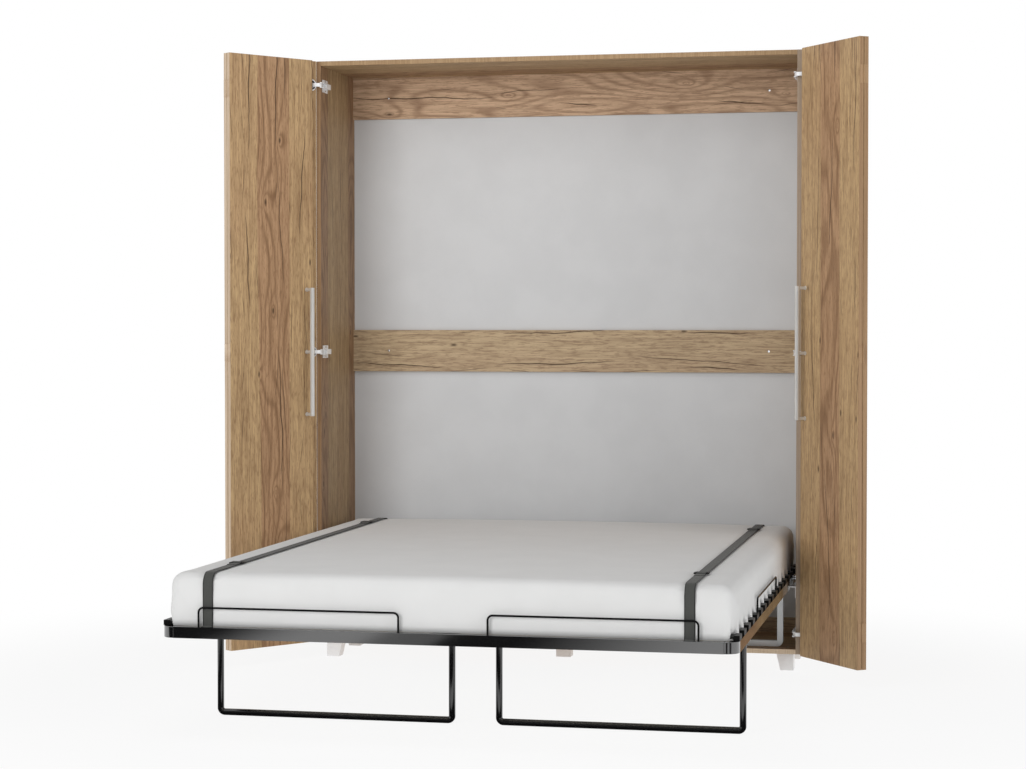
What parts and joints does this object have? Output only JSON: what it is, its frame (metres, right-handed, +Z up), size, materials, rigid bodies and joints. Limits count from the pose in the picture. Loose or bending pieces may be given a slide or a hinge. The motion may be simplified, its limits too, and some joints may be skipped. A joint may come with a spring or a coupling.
{
  "type": "wall bed",
  "caption": "Double wall bed folded down from an oak cabinet with bi-fold doors, a black tube frame on fold-down legs, slats and a strapped mattress.",
  "frame": {"origin": "on the floor, under the middle of the whole bed at rest", "axes": "+X to the right seen from the foot end, +Y toward the wall behind the cabinet, +Z up"},
  "size_m": [2.1742, 2.064, 2.1],
  "materials": {
    "oak_laminate": "satin",
    "pale_board": "satin",
    "pale_plastic": "matte",
    "zinc": "satin",
    "nickel": "satin",
    "grey_enamel": "satin",
    "black_enamel": "gloss",
    "bright_steel": "polished",
    "slat_wood": "satin",
    "black_plastic": "matte",
    "ticking": "matte",
    "webbing": "matte"
  },
  "bodies": {
    "cabinet": {"side_panel_left": "oak_laminate", "side_panel_right": "oak_laminate", "top_panel": "oak_laminate", "bottom_panel": "oak_laminate", "back_panel": "pale_board", "top_rail": "oak_laminate", "middle_rail": "oak_laminate", "bottom_rail": "oak_laminate", "corner_feet": "pale_plastic", "centre_foot": "pale_plastic", "foot_screws": "zinc", "cam_fasteners": "zinc", "stand_crossbar": "grey_enamel", "stand_upright_left": "grey_enamel", "stand_upright_right": "grey_enamel", "pivot_plates": "grey_enamel", "pivot_pins": "zinc", "bed_stops": "grey_enamel", "strut_lower_brackets": "grey_enamel", "hinge_arms_left": "nickel", "hinge_arms_right": "nickel", "hinge_screws": "zinc"},
    "bed": {"side_rail_left": "black_enamel", "side_rail_right": "black_enamel", "foot_rail": "black_enamel", "head_rail": "black_enamel", "frame_corners": "black_enamel", "centre_beam": "black_enamel", "cross_members": "black_enamel", "slats": "slat_wood", "slat_caps": "black_plastic", "centre_slat_holders": "black_plastic", "mattress": "ticking", "strap_left": "webbing", "strap_right": "webbing", "strap_buckles": "black_plastic", "mattress_hoops": "black_enamel", "strut_upper_brackets": "black_enamel", "leg_brackets": "black_enamel"},
    "door_left": {"wide_leaf_left": "oak_laminate", "hinge_cups_left": "nickel", "fold_hinge_fixed_left": "nickel"},
    "handle_door_left": {"handle_leaf_left": "oak_laminate", "fold_hinge_moving_left": "nickel", "handle_bar_left": "nickel", "handle_posts_left": "nickel"},
    "bed_leg_left": {"leg_left": "black_enamel"},
    "cylinder_left": {"strut_cylinder_left": "black_enamel"},
    "piston_rod_left": {"strut_rod_left": "bright_steel"},
    "door_right": {"wide_leaf_right": "oak_laminate", "hinge_cups_right": "nickel", "fold_hinge_fixed_right": "nickel"},
    "handle_door_right": {"handle_leaf_right": "oak_laminate", "fold_hinge_moving_right": "nickel", "handle_bar_right": "nickel", "handle_posts_right": "nickel"},
    "bed_leg_right": {"leg_right": "black_enamel"},
    "cylinder_right": {"strut_cylinder_right": "black_enamel"},
    "piston_rod_right": {"strut_rod_right": "bright_steel"}
  },
  "joints": [
    {"name": "bed_fold", "type": "hinge", "parent": "cabinet", "child": "bed", "pos_m": [0, 0.735, 0.305], "axis": [-1, 0, 0], "range_deg": [0, 90]},
    {"name": "leg_turn_left", "type": "hinge", "parent": "bed", "child": "bed_leg_left", "pos_m": [-0.429, -0.61, 0.27], "axis": [1, 0, 0], "range_deg": [0, 90]},
    {"name": "strut_turn_left", "type": "hinge", "parent": "cabinet", "child": "cylinder_left", "pos_m": [-0.64, 0.671, 0.112], "axis": [-1, 0, 0], "range_deg": [0, 45]},
    {"name": "strut_slide_left", "type": "slide", "parent": "cylinder_left", "child": "piston_rod_left", "axis": [0, -0.5841, 0.8117], "range_m": [0, 0.165]},
    {"name": "door_turn_left", "type": "hinge", "parent": "cabinet", "child": "door_left", "pos_m": [-0.85, 0.595, 0], "axis": [0, 0, -1], "range_deg": [-36, 28]},
    {"name": "door_fold_left", "type": "hinge", "parent": "door_left", "child": "handle_door_left", "pos_m": [-1.07454, 0.28595, 0], "axis": [0, 0, -1], "range_deg": [0, 6]},
    {"name": "leg_turn_right", "type": "hinge", "parent": "bed", "child": "bed_leg_right", "pos_m": [0.429, -0.61, 0.27], "axis": [1, 0, 0], "range_deg": [0, 90]},
    {"name": "strut_turn_right", "type": "hinge", "parent": "cabinet", "child": "cylinder_right", "pos_m": [0.64, 0.671, 0.112], "axis": [-1, 0, 0], "range_deg": [0, 45]},
    {"name": "strut_slide_right", "type": "slide", "parent": "cylinder_right", "child": "piston_rod_right", "axis": [0, -0.5841, 0.8117], "range_m": [0, 0.165]},
    {"name": "door_turn_right", "type": "hinge", "parent": "cabinet", "child": "door_right", "pos_m": [0.85, 0.595, 0], "axis": [0, 0, 1], "range_deg": [-36, 28]},
    {"name": "door_fold_right", "type": "hinge", "parent": "door_right", "child": "handle_door_right", "pos_m": [1.07454, 0.28595, 0], "axis": [0, 0, 1], "range_deg": [0, 6]}
  ],
  "couplings": [
    {"joint": "leg_turn_left", "follows": "bed_fold", "ratio": 1},
    {"joint": "strut_turn_left", "follows": "bed_fold", "ratio": 0.49354},
    {"joint": "strut_slide_left", "follows": "bed_fold", "m_per_rad": 0.10486},
    {"joint": "leg_turn_right", "follows": "bed_fold", "ratio": 1},
    {"joint": "strut_turn_right", "follows": "bed_fold", "ratio": 0.49354},
    {"joint": "strut_slide_right", "follows": "bed_fold", "m_per_rad": 0.10486}
  ]
}
